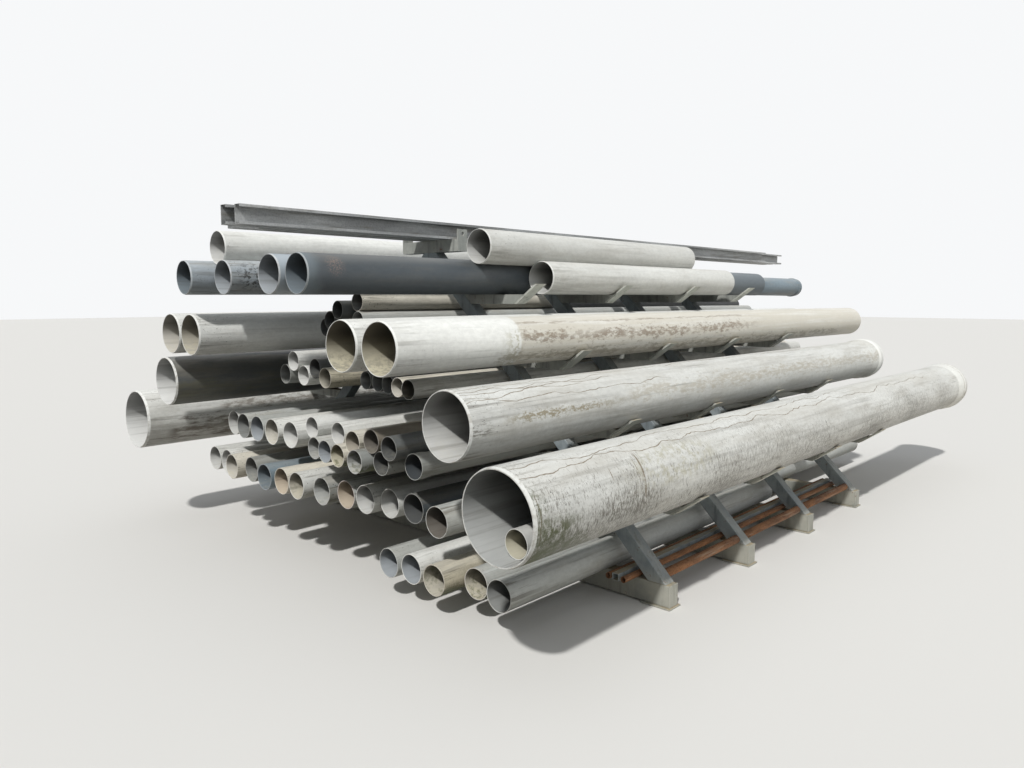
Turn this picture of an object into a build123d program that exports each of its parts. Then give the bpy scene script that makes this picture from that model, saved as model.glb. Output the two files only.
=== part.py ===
from build123d import *
from collections import namedtuple
from math import atan2, cos, radians, sin, sqrt, tan
import os

# A stack of plastic sewer pipes lying along X on a steel storage rack.
# The rack is a row of welded A-shaped frames. Y runs across it and Z is up.
# Places are measured from the front of the first frame, the rack's centre line and the floor.

# Pipe sizes, as outer diameter and wall
outer_110 = 110
wall_110 = 3.2
outer_125 = 125
wall_125 = 3.2
outer_160 = 160
wall_160 = 4.0
outer_200 = 200
wall_200 = 4.9
outer_250 = 250
wall_250 = 6.2
outer_315 = 315
wall_315 = 7.7
outer_400 = 400
wall_400 = 9.8
stock_length = 5000

# Sockets and the end ring of the pipes that have them
socket_play = 1.5
socket_flare = 30
small_socket_length = 90
large_socket_length = 260
end_ring_length = 45
end_ring_proud = 6

# Rack frames
frame_count = 4
frame_pitch = 885
member_width = 80
member_wall = 5
foot_plate_thickness = 8
foot_plate_length = 180
foot_plate_width = 110
foot_plate_overhang = 10
base_top = 125
base_half_length = 1840
end_plate_thickness = 8
leg_toe_inset = 22
leg_angle = 45
leg_depth = 80
beam_underside = 1885
beam_top = 1960
beam_half_length = 260
lug_thickness = 12
lug_rise = 62
lug_hole = 22
lug_hole_below_top = 27

# Cantilever arms outside the legs, from the lowest level up
arm_tops = [558, 900, 1250, 1615]
arm_reaches = [2010, 1605, 1275, 932]
arm_depth = 56
arm_wall = 4
stop_thickness = 12
stop_run = 165
stop_rise = 60

# Shelf beams between the legs, from the lowest up
shelf_tops = [430, 700, 1050, 1360]
shelf_depth = 60

# Tubes that tie the frames together
tie_outer = 50
tie_wall = 3
tie_inset = 13

# Steel bars stored on the base beams, two round ones with a square one between them
round_bar_outer = 34
square_bar_width = 40
bar_wall = 3
near_bar_gap = 29
bar_gaps = [13, 8]
bar_overhang = 120
bar_length = 2900

# Sheet steel channels lying on the top beams, with their mouths and lengths from the near one on
channel_height = 100
channel_flange = 50
channel_lip = 15
channel_sheet = 3
channel_gap = 35
first_channel_gap = 40
channel_mouths = [-1420, -1450, -1220, -1330]
channel_lengths = [5855, 6460, 6210, 6340]

# Single pipes on the near arms: front ends, lengths that aren't standard, and gaps to what is beside them
near_400_mouth = -1270
near_400_length = 6200
nested_125_mouth = -1160
nested_125_length = 4000
near_315_mouth = -1175
near_315_length = 5040
near_250_outer_mouth = -1270
near_250_outer_length = 5600
near_250_outer_gap = 9
near_250_inner_mouth = -1260
near_250_inner_gap = 50

# The same for the single pipes on the far arms
far_400_mouth = -1250
far_400_gap = 5
far_315_mouth = -1230
far_315_gap = 92
far_250_mouth = -1260
far_250_inner_gap = 5
far_250_outer_gap = 20

# The same for the pipes on the highest arms
top_near_inner_mouth = -1360
top_near_middle_mouth = -1330
top_near_middle_length = 4800
top_near_outer_mouth = 205
top_near_outer_length = 2270
top_near_upper_mouth = -220
top_near_upper_length = 2240
top_near_gap = 5
top_far_inner_mouth = -1198
top_far_inner_gap = 60
top_far_outer_mouth = -1335
top_far_outer_gap = 2
top_far_upper_mouth = -1174
nested_160_mouth = 2340
nested_160_length = 2000

# Row on the base beams, from the last bar on, as the gap before each pipe, its mouth and length
base_row_layout = [
    (18, -830, 2760),
    (30, -795, stock_length),
    (25, -905, stock_length),
    (45, -880, stock_length),
    (1, -900, stock_length),
]

# Rows on the shelf beams, from the near leg on, as mouths, and the gaps before, between and after them
lower_row_gaps = [122, 113, 10, 2, 2, 2, 56, 10, 10, 90, 10, 10, 10, 47]
lower_row_mouths = [-914, -835, -855, -896, -908, -957, -987, -985, -1000, -950, -995, -940, -940]
middle_row_gaps = [54, 55, 5, 70, 19, 3, 18, 92, 20, 10, 5, 5, 27]
middle_row_mouths = [-921, -985, -1054, -1025, -1008, -993, -770, -915, -935, -940, -945, -920]
middle_upper_mouths = [-1001, -997, -995, -967, -958]
upper_row_gaps = [17, 15, 35, 30, 35, 108, 105, 55, 69]
upper_row_mouths = [-710, -680, -635, -600, -580, -715, -720, -740]
upper_heap_mouths = [-710, -735]
crown_row_gaps = [75, 2, 90, 90, 87]
crown_row_mouths = [-450, -450, -450, -635]
crown_heap_mouths = [-610, -671, -675, -604]
crown_top_length = 1770

# A piece that rests on another lies this far above it
seat_gap = 0.3

Stock = namedtuple("Stock", "outer wall")
dn110 = Stock(outer_110, wall_110)
dn125 = Stock(outer_125, wall_125)
dn160 = Stock(outer_160, wall_160)
dn200 = Stock(outer_200, wall_200)
dn250 = Stock(outer_250, wall_250)
dn315 = Stock(outer_315, wall_315)
dn400 = Stock(outer_400, wall_400)

# A pipe's place is its axis; mouth is the X of its front end, and ending is the form of one end
Pipe = namedtuple("Pipe", "stock across height mouth length ending", defaults=("plain",))

leg_toe = base_half_length - leg_toe_inset
leg_slope = tan(radians(leg_angle))
leg_span = leg_depth / sin(radians(leg_angle))
stop_angle = atan2(arm_depth + stop_rise, stop_run)
stop_top_run = stop_rise / tan(stop_angle) + stop_thickness / sin(stop_angle)


def leg_outside(height):
    """Distance from the centre line to a leg's outer face at a height."""
    return leg_toe - (height - base_top) / leg_slope


def leg_inside(height):
    """Distance from the centre line to a leg's inner face at a height."""
    return leg_outside(height) - leg_span


def rest_height(shelf, stock):
    """Height of the axis of a pipe that rests on a level face."""
    return shelf + stock.outer / 2 + seat_gap


def on_shelf(shelf, stock, across, mouth, length=stock_length, ending="plain"):
    return Pipe(stock, across, rest_height(shelf, stock), mouth, length, ending)


def beside_leg(shelf, stock):
    """Distance from the centre line to a pipe on an arm that touches the leg."""
    return leg_outside(shelf) + stock.outer / 2 * tan(radians(leg_angle / 2)) + seat_gap


def beside_stop(reach, stock):
    """Distance from the centre line to a pipe on an arm that touches the stop plate."""
    return reach - stop_top_run - stock.outer / 2 * tan(stop_angle / 2) - seat_gap


def outside_stop(level, shelf, stock):
    """Distance from the centre line to a pipe that just clears the stop plate above it."""
    below_stop = arm_tops[level] - arm_depth - rest_height(shelf, stock)
    room = stock.outer / 2 + seat_gap - below_stop * cos(stop_angle)
    return arm_reaches[level] - stop_run + room / sin(stop_angle)


def seat_outer(pipe):
    """The diameter that a pipe shows to another that rests on it."""
    if pipe.ending == "front socket":
        return pipe.stock.outer + 2 * (socket_play + pipe.stock.wall)
    return pipe.stock.outer


def on_two(left, right, stock, mouth, length=stock_length):
    """A pipe that lies in the groove between two others, along the line that touches both."""
    left_reach = (seat_outer(left) + stock.outer) / 2 + seat_gap
    right_reach = (seat_outer(right) + stock.outer) / 2 + seat_gap
    run = right.across - left.across
    climb = right.height - left.height
    spacing = sqrt(run**2 + climb**2)
    along = (left_reach**2 - right_reach**2 + spacing**2) / (2 * spacing)
    rise = sqrt(left_reach**2 - along**2)
    across = left.across + (along * run - rise * climb) / spacing
    height = left.height + (along * climb + rise * run) / spacing
    return Pipe(stock, across, height, mouth, length)


def shelf_row(shelf, stocks, gaps, mouths):
    """Pipes side by side between the legs, the free width shared out in proportion to the gaps."""
    limits = [
        leg_inside(rest_height(shelf, stock)) - stock.outer / 2 / sin(radians(leg_angle))
        for stock in (stocks[0], stocks[-1])
    ]
    widths = [0] + [(a.outer + b.outer) / 2 for a, b in zip(stocks, stocks[1:])]
    free_width = sum(limits) - sum(widths)
    place = -limits[0]
    row = []
    for stock, gap, width, mouth in zip(stocks, gaps, widths, mouths):
        place += width + free_width * gap / sum(gaps)
        row.append(on_shelf(shelf, stock, place, mouth))
    return row


# Large pipes on the near arms, with a small pipe inside the lowest one
near_400_place = -beside_stop(arm_reaches[0], dn400)
near_400 = on_shelf(arm_tops[0], dn400, near_400_place, near_400_mouth, near_400_length, "socket")
nested_125 = on_shelf(
    arm_tops[0] + seat_gap + wall_400, dn125, near_400_place, nested_125_mouth, nested_125_length
)
near_315_place = -beside_stop(arm_reaches[1], dn315)
near_315 = on_shelf(arm_tops[1], dn315, near_315_place, near_315_mouth, near_315_length, "socket")
near_250_place = near_250_outer_gap - beside_stop(arm_reaches[2], dn250)
near_250_outer = on_shelf(
    arm_tops[2], dn250, near_250_place, near_250_outer_mouth, near_250_outer_length
)
near_250_place += outer_250 + near_250_inner_gap
near_250_inner = on_shelf(arm_tops[2], dn250, near_250_place, near_250_inner_mouth)

# Large pipes on the far arms
far_400_place = outside_stop(1, arm_tops[0], dn400) + far_400_gap
far_400 = on_shelf(arm_tops[0], dn400, far_400_place, far_400_mouth)
far_315 = on_shelf(arm_tops[1], dn315, beside_leg(arm_tops[1], dn315) + far_315_gap, far_315_mouth)
far_250_place = beside_leg(arm_tops[2], dn250) + far_250_inner_gap
far_250_inner = on_shelf(arm_tops[2], dn250, far_250_place, far_250_mouth)
far_250_place += outer_250 + far_250_outer_gap
far_250_outer = on_shelf(arm_tops[2], dn250, far_250_place, far_250_mouth)

# Pipes on the highest arms, near side from the leg outwards and far side likewise
top_place = -beside_leg(arm_tops[3], dn200)
top_near_inner = on_shelf(arm_tops[3], dn200, top_place, top_near_inner_mouth)
top_place -= outer_200 + top_near_gap
top_near_middle = on_shelf(
    arm_tops[3], dn200, top_place, top_near_middle_mouth, top_near_middle_length
)
top_place -= outer_200 + top_near_gap
top_near_outer = on_shelf(arm_tops[3], dn200, top_place, top_near_outer_mouth, top_near_outer_length)
top_near_upper = on_two(
    top_near_outer, top_near_middle, dn200, top_near_upper_mouth, top_near_upper_length
)
top_place = beside_leg(arm_tops[3], dn200) + top_far_inner_gap
top_far_inner = on_shelf(arm_tops[3], dn200, top_place, top_far_inner_mouth)
top_place += outer_200 + top_far_outer_gap
top_far_outer = on_shelf(arm_tops[3], dn200, top_place, top_far_outer_mouth)
top_far_upper = on_two(top_far_inner, top_far_outer, dn200, top_far_upper_mouth)

# A thinner pipe pushed into the far end of the middle one
nested_160 = on_shelf(
    arm_tops[3] + seat_gap + wall_200,
    dn160,
    top_near_middle.across,
    nested_160_mouth,
    nested_160_length,
    "end ring",
)

# Steel bars on the base beams, side by side from the near leg
bar_widths = [round_bar_outer, square_bar_width, round_bar_outer]
bar_level = base_top + seat_gap
round_bar_height = bar_level + round_bar_outer / 2
near_bar_limit = -leg_inside(round_bar_height) + round_bar_outer / 2 / sin(radians(leg_angle))
bar_places = [near_bar_limit + near_bar_gap]
for bar_gap, bar_width, next_width in zip(bar_gaps, bar_widths, bar_widths[1:]):
    bar_places.append(bar_places[-1] + (bar_width + next_width) / 2 + bar_gap)

# Row on the base beams
base_row = []
row_edge = bar_places[-1] + round_bar_outer / 2
for pipe_gap, mouth, length in base_row_layout:
    across = row_edge + pipe_gap + outer_160 / 2
    base_row.append(on_shelf(base_top, dn160, across, mouth, length))
    row_edge = across + outer_160 / 2

# Row on the lowest shelf beams
lower_row = shelf_row(shelf_tops[0], [dn160] * 13, lower_row_gaps, lower_row_mouths)

# Two layers on the second shelf beams
middle_stocks = [dn125] * 7 + [dn160] * 5
middle_row = shelf_row(shelf_tops[1], middle_stocks, middle_row_gaps, middle_row_mouths)
middle_row[0] = middle_row[0]._replace(ending="front socket")
middle_grooves = [(0, 1), (1, 2), (2, 3), (3, 4), (5, 6)]
middle_upper = [
    on_two(middle_row[left], middle_row[right], dn125, mouth)
    for (left, right), mouth in zip(middle_grooves, middle_upper_mouths)
]

# Two layers on the third shelf beams
upper_stocks = [dn110] * 5 + [dn125] * 3
upper_row = shelf_row(shelf_tops[2], upper_stocks, upper_row_gaps, upper_row_mouths)
upper_heap = [
    on_two(upper_row[left], upper_row[left + 1], dn125, mouth)
    for left, mouth in zip([5, 6], upper_heap_mouths)
]

# A loose heap on the highest shelf beams, two pipes sunk in the wide grooves of the row
crown_row = shelf_row(shelf_tops[3], [dn110] * 4, crown_row_gaps, crown_row_mouths)
crown_heap = [
    on_two(crown_row[1], crown_row[2], dn110, crown_heap_mouths[0]),
    on_two(crown_row[2], crown_row[3], dn110, crown_heap_mouths[1]),
]
crown_heap.append(on_two(crown_row[2], crown_heap[1], dn110, crown_heap_mouths[2]))
crown_heap.append(
    on_two(crown_heap[0], crown_heap[2], dn110, crown_heap_mouths[3], crown_top_length)
)


def pick(row, places):
    return [row[place] for place in places]


# Every node of pipes. A row is shared out by the colour of its pipes.
pipe_nodes = {
    "near_pipe_400": [near_400],
    "nested_pipe_125": [nested_125],
    "near_pipe_315": [near_315],
    "near_pipe_250_outer": [near_250_outer],
    "near_pipe_250_inner": [near_250_inner],
    "far_pipe_400": [far_400],
    "far_pipe_315": [far_315],
    "far_pipe_250_inner": [far_250_inner],
    "far_pipe_250_outer": [far_250_outer],
    "top_near_pipe_inner": [top_near_inner],
    "top_near_pipe_middle": [top_near_middle],
    "top_near_pipe_outer": [top_near_outer],
    "top_near_pipe_upper": [top_near_upper],
    "nested_pipe_160": [nested_160],
    "top_far_pipe_inner": [top_far_inner],
    "top_far_pipe_outer": [top_far_outer],
    "top_far_pipe_upper": [top_far_upper],
    "base_row_pipes_grey": pick(base_row, [0, 1, 3, 4]),
    "base_row_pipes_cream": pick(base_row, [2]),
    "lower_row_pipes_grey": pick(lower_row, [0, 2, 3, 5, 6]),
    "lower_row_pipes_cream": pick(lower_row, [4, 7, 10, 11, 12]),
    "lower_row_pipes_blue": pick(lower_row, [1, 8, 9]),
    "middle_row_pipes_grey": pick(middle_row, [0, 1, 2, 5, 11]),
    "middle_row_pipes_cream": pick(middle_row, [3, 6, 7, 8]),
    "middle_row_pipes_blue": pick(middle_row, [4, 9, 10]),
    "middle_upper_pipes_grey": pick(middle_upper, [0, 4]),
    "middle_upper_pipes_cream": pick(middle_upper, [1, 2, 3]),
    "upper_row_pipes_grey": pick(upper_row, [2, 3, 4, 7]),
    "upper_row_pipes_cream": pick(upper_row, [0, 1, 5, 6]),
    "upper_heap_pipes": upper_heap,
    "crown_row_pipes": crown_row,
    "crown_heap_pipes": crown_heap,
}

# The origin is on the floor, under the middle of the whole stack's outline
all_pipes = [pipe for pipes in pipe_nodes.values() for pipe in pipes]
front_end = min([pipe.mouth for pipe in all_pipes] + channel_mouths)
back_end = max(mouth + length for mouth, length in zip(channel_mouths, channel_lengths))
near_side = near_400.across - outer_400 / 2 - socket_play - wall_400
far_side = max(arm_reaches[0], far_400.across + outer_400 / 2)
origin_x = (front_end + back_end) / 2
origin_y = (near_side + far_side) / 2
cross_section = Plane(origin=(-origin_x, -origin_y, 0), x_dir=(0, 1, 0), z_dir=(1, 0, 0))
frame_starts = [index * frame_pitch for index in range(frame_count)]
frame_planes = [cross_section.offset(start) for start in frame_starts]


def pipe_profile(pipe):
    """The wall of a pipe as (length along it, radius) points, outside first."""
    wall = pipe.stock.wall
    outside = pipe.stock.outer / 2
    inside = outside - wall
    end = pipe.length
    hollow = outside + socket_play
    if pipe.ending == "socket":
        flare = end - large_socket_length
        full = flare + socket_flare
        points = [(0, outside), (flare, outside), (full, hollow + wall), (end, hollow + wall)]
        return points + [(end, hollow), (full, hollow), (flare, inside), (0, inside)]
    if pipe.ending == "front socket":
        flare = small_socket_length
        full = flare - socket_flare
        points = [(0, hollow + wall), (full, hollow + wall), (flare, outside), (end, outside)]
        return points + [(end, inside), (flare, inside), (full, hollow), (0, hollow)]
    if pipe.ending == "end ring":
        ring = end - end_ring_length
        proud = outside + end_ring_proud
        return [(0, outside), (ring, outside), (ring, proud), (end, proud), (end, inside), (0, inside)]
    return [(0, outside), (end, outside), (end, inside), (0, inside)]


def make_pipes(pipes):
    """One solid for each pipe, turned about its own axis."""
    with BuildPart() as row:
        for pipe in pipes:
            front = (pipe.mouth - origin_x, pipe.across - origin_y, pipe.height)
            with BuildSketch(Plane(origin=front, x_dir=(1, 0, 0), z_dir=(0, -1, 0))):
                Polygon(*pipe_profile(pipe), align=None)
            revolve(axis=Axis(front, (1, 0, 0)))
    return row


def make_members(outlines, hollows=(), wall=0):
    """Members in every frame, drawn in the frame's plane, with the hollows of the box sections."""
    with BuildPart() as members:
        for outline in outlines:
            with BuildSketch(*frame_planes):
                Polygon(*outline, align=None)
            extrude(amount=member_width)
        for hollow in hollows:
            with BuildSketch(*[plane.offset(wall) for plane in frame_planes]):
                Polygon(*hollow, align=None)
            extrude(amount=member_width - 2 * wall, mode=Mode.SUBTRACT)
    return members


def mirrored(points):
    return [(-across, height) for across, height in reversed(points)]


def both_sides(points):
    return [points, mirrored(points)]


def band(low, high, left_at, right_at):
    """A level member between two edges whose place across the rack depends on the height."""
    return [(left_at(low), low), (right_at(low), low), (right_at(high), high), (left_at(high), high)]


def box_outline(left, right, low, high):
    return [(left, low), (right, low), (right, high), (left, high)]


def leg_outline(inset):
    """A near leg from the base beam to the top beam, mitred on the centre line with the far leg."""
    slant_inset = inset / sin(radians(leg_angle))
    mitre = base_top + (leg_toe - leg_span + slant_inset) * leg_slope
    outer_face = [(-leg_outside(z) + slant_inset, z) for z in (beam_underside, base_top)]
    inner_low = (-leg_inside(base_top) - slant_inset, base_top)
    return outer_face + [inner_low, (0, mitre), (0, beam_underside)]


def arm_outline(top, reach, inset):
    """A near arm from the sloping inner face of its stop plate to the leg's outer face."""

    def stop_face(height):
        return stop_top_run - reach - (height - top) / tan(stop_angle)

    def leg_face(height):
        return -leg_outside(height)

    return band(top - arm_depth + inset, top - inset, stop_face, leg_face)


def stop_outline(top, reach):
    """A near stop plate, which slopes up and out from the arm's underside."""
    low = (stop_run - reach, top - arm_depth)
    high = (-reach, top + stop_rise)
    shift = stop_thickness / sin(stop_angle)
    return [low, (low[0] + shift, low[1]), (high[0] + shift, high[1]), high]


def shelf_outline(top, inset):
    """A shelf beam between the inner faces of the two legs."""
    return band(top - shelf_depth + inset, top - inset, lambda z: -leg_inside(z), leg_inside)


def make_channel(index):
    """A lipped channel on the top beams, its open side towards the near side."""
    step = channel_flange + channel_gap
    left = first_channel_gap - beam_half_length + index * step
    right = left + channel_flange
    low = beam_top + seat_gap
    high = low + channel_height
    outline = [
        (left, low + channel_lip),
        (left, low),
        (right, low),
        (right, high),
        (left, high),
        (left, high - channel_lip),
        (left + channel_sheet, high - channel_lip),
        (left + channel_sheet, high - channel_sheet),
        (right - channel_sheet, high - channel_sheet),
        (right - channel_sheet, low + channel_sheet),
        (left + channel_sheet, low + channel_sheet),
        (left + channel_sheet, low + channel_lip),
    ]
    with BuildPart() as channel:
        with BuildSketch(cross_section.offset(channel_mouths[index])):
            Polygon(*outline, align=None)
        extrude(amount=channel_lengths[index])
    return channel


nodes = {name: make_pipes(pipes) for name, pipes in pipe_nodes.items()}

# Base beams, the plates that close their ends and the plates under them
beam_end = base_half_length - end_plate_thickness
hollow_low = foot_plate_thickness + member_wall
nodes["base_beams"] = make_members(
    [box_outline(-beam_end, beam_end, foot_plate_thickness, base_top)],
    [box_outline(-beam_end, beam_end, hollow_low, base_top - member_wall)],
    member_wall,
)
base_end = box_outline(-base_half_length, -beam_end, foot_plate_thickness, base_top)
nodes["base_end_plates"] = make_members(both_sides(base_end))

with BuildPart() as foot_plates:
    with BuildSketch(Plane((-origin_x, -origin_y, 0))):
        foot_place = base_half_length + foot_plate_overhang - foot_plate_length / 2
        middles = [start + member_width / 2 for start in frame_starts]
        with Locations(*[(x, side * foot_place) for x in middles for side in (-1, 1)]):
            Rectangle(foot_plate_width, foot_plate_length)
    extrude(amount=foot_plate_thickness)
nodes["foot_plates"] = foot_plates

# Legs
near_leg = leg_outline(0)
near_leg_hollow = leg_outline(member_wall)
nodes["near_legs"] = make_members([near_leg], [near_leg_hollow], member_wall)
nodes["far_legs"] = make_members([mirrored(near_leg)], [mirrored(near_leg_hollow)], member_wall)

# Arms and their stop plates
level_names = ["low", "second", "third", "top"]
for level_name, top, reach in zip(level_names, arm_tops, arm_reaches):
    arm = arm_outline(top, reach, 0)
    arm_hollow = arm_outline(top, reach, arm_wall)
    nodes[level_name + "_arms"] = make_members(both_sides(arm), both_sides(arm_hollow), arm_wall)
    nodes[level_name + "_arm_stops"] = make_members(both_sides(stop_outline(top, reach)))

# Shelf beams between the legs
for level_name, top in zip(level_names, shelf_tops):
    nodes[level_name + "_shelf_beams"] = make_members(
        [shelf_outline(top, 0)], [shelf_outline(top, arm_wall)], arm_wall
    )

# Top beams with a drilled lug at each end
beam_hollow_low = beam_underside + member_wall
beam_hollow_high = beam_top - member_wall
nodes["top_beams"] = make_members(
    [box_outline(-beam_half_length, beam_half_length, beam_underside, beam_top)],
    [box_outline(-beam_half_length, beam_half_length, beam_hollow_low, beam_hollow_high)],
    member_wall,
)
lug_height = beam_top + lug_rise - beam_underside
lug_faces = [
    Plane((start - origin_x, side - origin_y, beam_underside), x_dir=(1, 0, 0), z_dir=(0, -1, 0))
    for start in frame_starts
    for side in (-beam_half_length, beam_half_length + lug_thickness)
]
with BuildPart() as lugs:
    with BuildSketch(*lug_faces):
        with Locations((member_width / 2, lug_height / 2)):
            Rectangle(member_width, lug_height)
        with Locations((member_width / 2, lug_height - lug_hole_below_top)):
            Circle(lug_hole / 2, mode=Mode.SUBTRACT)
    extrude(amount=lug_thickness)
nodes["top_beam_lugs"] = lugs

# Tie tubes from frame to frame, just above the base beams
tie_height = base_top + tie_outer / 2
tie_place = leg_outside(tie_height) - tie_inset - tie_outer / 2
tie_planes = [cross_section.offset(start + member_width) for start in frame_starts[:-1]]
with BuildPart() as tie_tubes:
    with BuildSketch(*tie_planes):
        with Locations((-tie_place, tie_height), (tie_place, tie_height)):
            Circle(tie_outer / 2)
            Circle(tie_outer / 2 - tie_wall, mode=Mode.SUBTRACT)
    extrude(amount=frame_pitch - member_width)
nodes["tie_tubes"] = tie_tubes

# Steel bars lying on the base beams
bar_start = cross_section.offset(-bar_overhang)
with BuildPart() as round_bars:
    with BuildSketch(bar_start):
        with Locations(*[(place, round_bar_height) for place in pick(bar_places, [0, 2])]):
            Circle(round_bar_outer / 2)
            Circle(round_bar_outer / 2 - bar_wall, mode=Mode.SUBTRACT)
    extrude(amount=bar_length)
nodes["round_bars"] = round_bars

square_bar_hollow = square_bar_width - 2 * bar_wall
with BuildPart() as square_bar:
    with BuildSketch(bar_start):
        with Locations((bar_places[1], bar_level + square_bar_width / 2)):
            Rectangle(square_bar_width, square_bar_width)
            Rectangle(square_bar_hollow, square_bar_hollow, mode=Mode.SUBTRACT)
    extrude(amount=bar_length)
nodes["square_bar"] = square_bar

channel_names = ["near_channel", "second_channel", "third_channel", "far_channel"]
for index, channel_name in enumerate(channel_names):
    nodes[channel_name] = make_channel(index)

os.makedirs("parts", exist_ok=True)
for name, node in nodes.items():
    node.part.label = name
    export_step(node.part, "parts/" + name + ".step")
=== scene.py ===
import math
import random
from collections import namedtuple

import bmesh
import bpy
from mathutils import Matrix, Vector


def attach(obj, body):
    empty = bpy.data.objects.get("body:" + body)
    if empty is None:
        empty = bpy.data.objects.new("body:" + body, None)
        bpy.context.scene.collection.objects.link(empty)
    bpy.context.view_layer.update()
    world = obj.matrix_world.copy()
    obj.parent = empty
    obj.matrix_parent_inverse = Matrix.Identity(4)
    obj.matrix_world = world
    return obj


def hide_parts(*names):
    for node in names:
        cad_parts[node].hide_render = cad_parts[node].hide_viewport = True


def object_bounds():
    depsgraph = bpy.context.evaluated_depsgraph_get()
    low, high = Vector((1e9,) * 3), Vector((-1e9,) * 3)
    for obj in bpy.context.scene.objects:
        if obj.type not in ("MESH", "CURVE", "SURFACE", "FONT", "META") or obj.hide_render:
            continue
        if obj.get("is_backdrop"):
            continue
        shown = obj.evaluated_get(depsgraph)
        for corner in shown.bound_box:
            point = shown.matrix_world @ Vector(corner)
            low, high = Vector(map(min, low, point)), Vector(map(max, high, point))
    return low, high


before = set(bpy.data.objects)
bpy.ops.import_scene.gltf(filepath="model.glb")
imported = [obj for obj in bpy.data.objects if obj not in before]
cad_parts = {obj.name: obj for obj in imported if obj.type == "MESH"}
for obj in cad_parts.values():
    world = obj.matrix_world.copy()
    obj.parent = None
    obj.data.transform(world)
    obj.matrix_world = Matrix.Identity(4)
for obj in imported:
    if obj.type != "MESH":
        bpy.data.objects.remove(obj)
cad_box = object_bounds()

# A stack of used plastic sewer pipes on a welded steel rack.
# Every length is in metres. X runs along the pipes, their front mouths at the low end.

# Turned walls: stations along X, segments round them by the greatest radius, chamfer of the rims
station_spacing = 0.32
segments_by_radius = [(0.03, 24), (0.09, 48), (0.13, 64), (1.0, 96)]
rim_chamfer = 0.0008

# The mouths of wide pipes taper outside, over a share of the wall
least_tapered_radius = 0.09
taper_share = 0.5
taper_slope = 3.2
taper_reach = 0.04

# An end that is wider by this much is a socket; its bead is (distance from the end, rise)
least_socket_swell = 0.005
socket_bead = [(0.09, 0.0), (0.08, 0.006), (0.062, 0.006), (0.052, 0.0)]

# How much the ends of the pipes sag and drift, and how askew their mouths are sawn
sag_per_square_metre = 0.0016
mouth_drift = 0.0018
saw_slant = 0.018
saw_slant_reach = 0.05

# How a node's mesh is read: vertices this near are one, and a mouth's ring is this deep
merge_distance = 0.00002
mouth_depth = 0.0001

# How far a face has to lean towards the X axis, from 0 to 1, to be an end or a tapered rim
end_lean = 0.6
taper_lean = 0.15

# Slots of a pipe's finishes
outside_slot, inside_slot, cut_slot = range(3)

# What differs from pipe to pipe
pattern_shift = 20
least_brightness = 0.95
most_brightness = 1.05

# In a bore, moss grows where there is silt for it, and colours are greyer than outside
moss_for_silt = 3
bore_greyness = 0.36

# The first and last frame of the rack, past which the pipes overhang
first_support = -1.78
last_support = 0.955

# Edges of the rack's steel that are sharper than this, in degrees, are rounded
sharp_corner_angle = 35

# The floor lies a little under the foot plates
floor_half_width = 60
floor_drop = 0.0005

# Camera, from the vanishing lines of the photo: angles in degrees, lens and sensor in millimetres
camera_place = (-5.10, -3.8192, 1.6)
camera_turn = -46.9
camera_tilt = 90 - 6.46
camera_lens = 27
camera_sensor = 36

# Sun, its spread in degrees
sun_strength = 3.0
sun_spread = 2.5
sun_colour = (1.0, 0.985, 0.96)
sun_direction = (0.60, 0.30, -0.74)

# Strength of the sky's light: level with the ground, added straight above and added on the near side
horizon_light = 0.04
zenith_light = 0.62
near_side_light = 0.85
sky_light_colour = (0.94, 0.97, 1.0, 1)
seen_sky_colour = (0.93, 0.94, 0.95, 1)

# Where along X the floor's unseen bounce grows from the dark of the front to the pale of the sides
darker_floor_edge = (-3.6, -2.2)


def screen(red, green, blue):
    """A colour as it looks on a screen, 0 to 255, in the linear form that shaders take."""

    def linear(level):
        level = level / 255
        if level <= 0.04045:
            return level / 12.92
        return ((level + 0.055) / 1.055) ** 2.4

    return (linear(red), linear(green), linear(blue), 1.0)


def feed(tree, socket, value):
    """Links a socket to a node's output, or sets it to a constant."""
    if isinstance(value, bpy.types.NodeSocket):
        tree.links.new(value, socket)
    else:
        socket.default_value = value


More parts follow.
